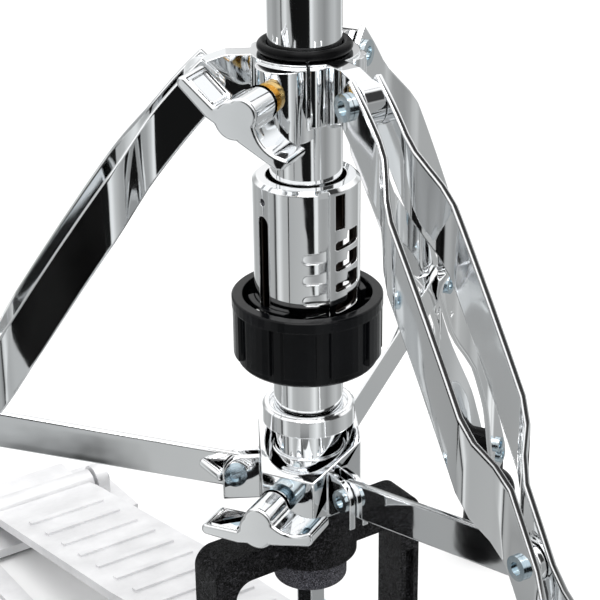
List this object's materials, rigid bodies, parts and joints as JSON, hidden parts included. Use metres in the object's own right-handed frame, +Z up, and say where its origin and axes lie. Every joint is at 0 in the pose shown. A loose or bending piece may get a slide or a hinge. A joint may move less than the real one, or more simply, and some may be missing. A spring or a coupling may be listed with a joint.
{
  "type": "hi-hat stand",
  "caption": "Hi-hat stand with a folding two-strip tripod, a notched tension sleeve with a turning ring, a footboard that pulls a rod, a height tube and a cymbal clutch.",
  "frame": {"origin": "on the floor, on the axis of the tube, under the yoke", "axes": "+Z up along the tube; the footboard points towards -Y; +Y points along the leg opposite the player; +X is to the right as seen from behind the footboard"},
  "size_m": [0.4162, 0.548, 0.985],
  "materials": {
    "chrome": "polished chrome plate",
    "zinc": "bright zinc plate",
    "steel": "plain drawn steel",
    "brass": "plain brass",
    "pedal_alloy": "satin cast alloy",
    "dark_steel": "blackened steel",
    "black_casting": "black paint with a fine wrinkle",
    "black_plastic": "satin moulded plastic",
    "rubber": "moulded rubber",
    "dark_felt": "pressed dark felt",
    "pale_felt": "pressed pale felt"
  },
  "bodies": {
    "base": {"yoke": "black_casting", "cross_plate": "steel", "base_rails": "pedal_alloy", "heel_plate": "pedal_alloy", "heel_pad": "rubber", "heel_pin": "steel", "lower_tube": "chrome", "tension_sleeve": "chrome", "sleeve_screw": "dark_steel", "felt_bush": "dark_felt", "stop_ring": "chrome", "height_clamp": "chrome", "clamp_bush": "black_plastic", "tension_spring": "dark_steel"},
    "swivel": {"swivel_collar": "chrome", "swivel_nut": "zinc", "brace_rivets": "zinc"},
    "swivel_screw": {"swivel_wing": "chrome", "swivel_bolt": "zinc"},
    "collar": {"leg_collar": "chrome", "collar_ring": "rubber", "brass_nut": "brass", "leg_pivots": "zinc"},
    "leg_screw": {"leg_wing": "chrome", "leg_wing_bolt": "zinc"},
    "leg_a_body": {"leg_a": "chrome", "foot_a": "rubber", "leg_rivets_a": "zinc"},
    "leg_b_body": {"leg_b": "chrome", "foot_b": "rubber", "leg_rivets_b": "zinc"},
    "leg_c_body": {"leg_c": "chrome", "foot_c": "rubber", "leg_rivets_c": "zinc"},
    "brace_a_body": {"brace_a": "chrome"},
    "brace_b_body": {"brace_b": "chrome"},
    "brace_c_body": {"brace_c": "chrome"},
    "tension_carrier": {"spring_seat": "steel", "cross_pins": "chrome"},
    "tension_ring_body": {"tension_ring": "black_plastic"},
    "pull_rod": {"lower_rod": "steel", "upper_rod": "steel", "rod_coupler": "chrome", "coupler_pin": "zinc"},
    "link": {"drive_link": "steel"},
    "pedal": {"footboard": "pedal_alloy", "toe_clevis": "chrome", "toe_pin": "zinc"},
    "clamp_screw": {"clamp_wing": "chrome"},
    "height": {"upper_tube": "chrome", "seat_cup": "black_plastic", "seat_felt": "pale_felt"},
    "lock": {"memory_lock": "chrome"},
    "lock_screw_body": {"lock_screw": "zinc"},
    "tilt": {"tilt_screw": "steel"},
    "clutch": {"clutch_body": "chrome", "clutch_nuts": "chrome", "clutch_felts": "pale_felt"},
    "clutch_screw": {"clutch_wing": "chrome"}
  },
  "joints": [
    {"name": "swivel_turn", "type": "hinge", "parent": "base", "child": "swivel", "pos_m": [0, 0, 0.1665], "axis": [0, 0, 1], "range_deg": [-30, 30]},
    {"name": "swivel_wing_turn", "type": "hinge", "parent": "swivel", "child": "swivel_screw", "pos_m": [0.02598, 0.015, 0.1685], "axis": [0.866, 0.5, 0], "range_deg": [-60, 20]},
    {"name": "collar_slide", "type": "slide", "parent": "swivel", "child": "collar", "axis": [0, 0, 1], "range_m": [0, 0.035]},
    {"name": "leg_wing_turn", "type": "hinge", "parent": "collar", "child": "leg_screw", "pos_m": [0.02598, 0.015, 0.341], "axis": [0.866, 0.5, 0], "range_deg": [-180, 180]},
    {"name": "leg_a_fold", "type": "hinge", "parent": "collar", "child": "leg_a_body", "pos_m": [0, 0.038, 0.34], "axis": [-1, 0, 0], "range_deg": [0, 4.06]},
    {"name": "leg_b_fold", "type": "hinge", "parent": "collar", "child": "leg_b_body", "pos_m": [-0.03291, -0.019, 0.34], "axis": [0.5, -0.866, 0], "range_deg": [0, 4.06]},
    {"name": "leg_c_fold", "type": "hinge", "parent": "collar", "child": "leg_c_body", "pos_m": [0.03291, -0.019, 0.34], "axis": [0.5, 0.866, 0], "range_deg": [0, 4.06]},
    {"name": "brace_a_lift", "type": "hinge", "parent": "swivel", "child": "brace_a_body", "pos_m": [0, 0.031, 0.17], "axis": [1, 0, 0], "range_deg": [0, 15.18]},
    {"name": "brace_b_lift", "type": "hinge", "parent": "swivel", "child": "brace_b_body", "pos_m": [-0.02685, -0.0155, 0.17], "axis": [-0.5, 0.866, 0], "range_deg": [0, 15.18]},
    {"name": "brace_c_lift", "type": "hinge", "parent": "swivel", "child": "brace_c_body", "pos_m": [0.02685, -0.0155, 0.17], "axis": [-0.5, -0.866, 0], "range_deg": [0, 15.18]},
    {"name": "tension_slide", "type": "slide", "parent": "base", "child": "tension_carrier", "axis": [0, 0, 1], "range_m": [0, 0.0264]},
    {"name": "tension_ring_turn", "type": "hinge", "parent": "tension_carrier", "child": "tension_ring_body", "pos_m": [0, 0, 0.236], "axis": [0, 0, 1], "range_deg": [-11.5, 0]},
    {"name": "pedal_press", "type": "hinge", "parent": "base", "child": "pedal", "pos_m": [0, -0.27801, 0.01697], "axis": [-1, 0, 0], "range_deg": [0, 8.5], "stiffness_Nm_per_rad": 12, "springref_deg": -20.05},
    {"name": "rod_slide", "type": "slide", "parent": "base", "child": "pull_rod", "axis": [0, 0, 1], "range_m": [-0.0411, 0], "deforming": ["tension_spring"]},
    {"name": "link_tilt", "type": "hinge", "parent": "pull_rod", "child": "link", "pos_m": [0, 0, 0.09788], "axis": [-1, 0, 0], "range_deg": [-9.65, 0]},
    {"name": "clamp_wing_turn", "type": "hinge", "parent": "base", "child": "clamp_screw", "pos_m": [0.02035, 0.01175, 0.588], "axis": [-0.5, 0.866, 0], "range_deg": [-180, 180]},
    {"name": "height_slide", "type": "slide", "parent": "base", "child": "height", "axis": [0, 0, 1], "range_m": [0, 0.035]},
    {"name": "memory_lock_slide", "type": "slide", "parent": "height", "child": "lock", "axis": [0, 0, 1], "range_m": [0, 0.1]},
    {"name": "lock_screw_turn", "type": "hinge", "parent": "lock", "child": "lock_screw_body", "pos_m": [0.01732, 0.01, 0.616], "axis": [0.5, -0.866, 0], "range_deg": [-180, 180]},
    {"name": "tilt_screw_turn", "type": "hinge", "parent": "height", "child": "tilt", "pos_m": [0, 0.02, 0.77], "axis": [0, 0, 1], "range_deg": [-180, 180]},
    {"name": "clutch_slide", "type": "slide", "parent": "pull_rod", "child": "clutch", "axis": [0, 0, 1], "range_m": [-0.005, 0.025]},
    {"name": "clutch_wing_turn", "type": "hinge", "parent": "clutch", "child": "clutch_screw", "pos_m": [0.00866, 0.005, 0.94], "axis": [0.866, 0.5, 0], "range_deg": [-180, 180]}
  ],
  "couplings": [
    {"joint": "leg_a_fold", "follows": "collar_slide", "rad_per_m": 2.0234},
    {"joint": "leg_b_fold", "follows": "collar_slide", "rad_per_m": 2.0234},
    {"joint": "leg_c_fold", "follows": "collar_slide", "rad_per_m": 2.0234},
    {"joint": "brace_a_lift", "follows": "collar_slide", "rad_per_m": 7.5695},
    {"joint": "brace_b_lift", "follows": "collar_slide", "rad_per_m": 7.5695},
    {"joint": "brace_c_lift", "follows": "collar_slide", "rad_per_m": 7.5695},
    {"joint": "rod_slide", "follows": "pedal_press", "m_per_rad": -0.27697},
    {"joint": "link_tilt", "follows": "pedal_press", "ratio": -1.1345}
  ]
}
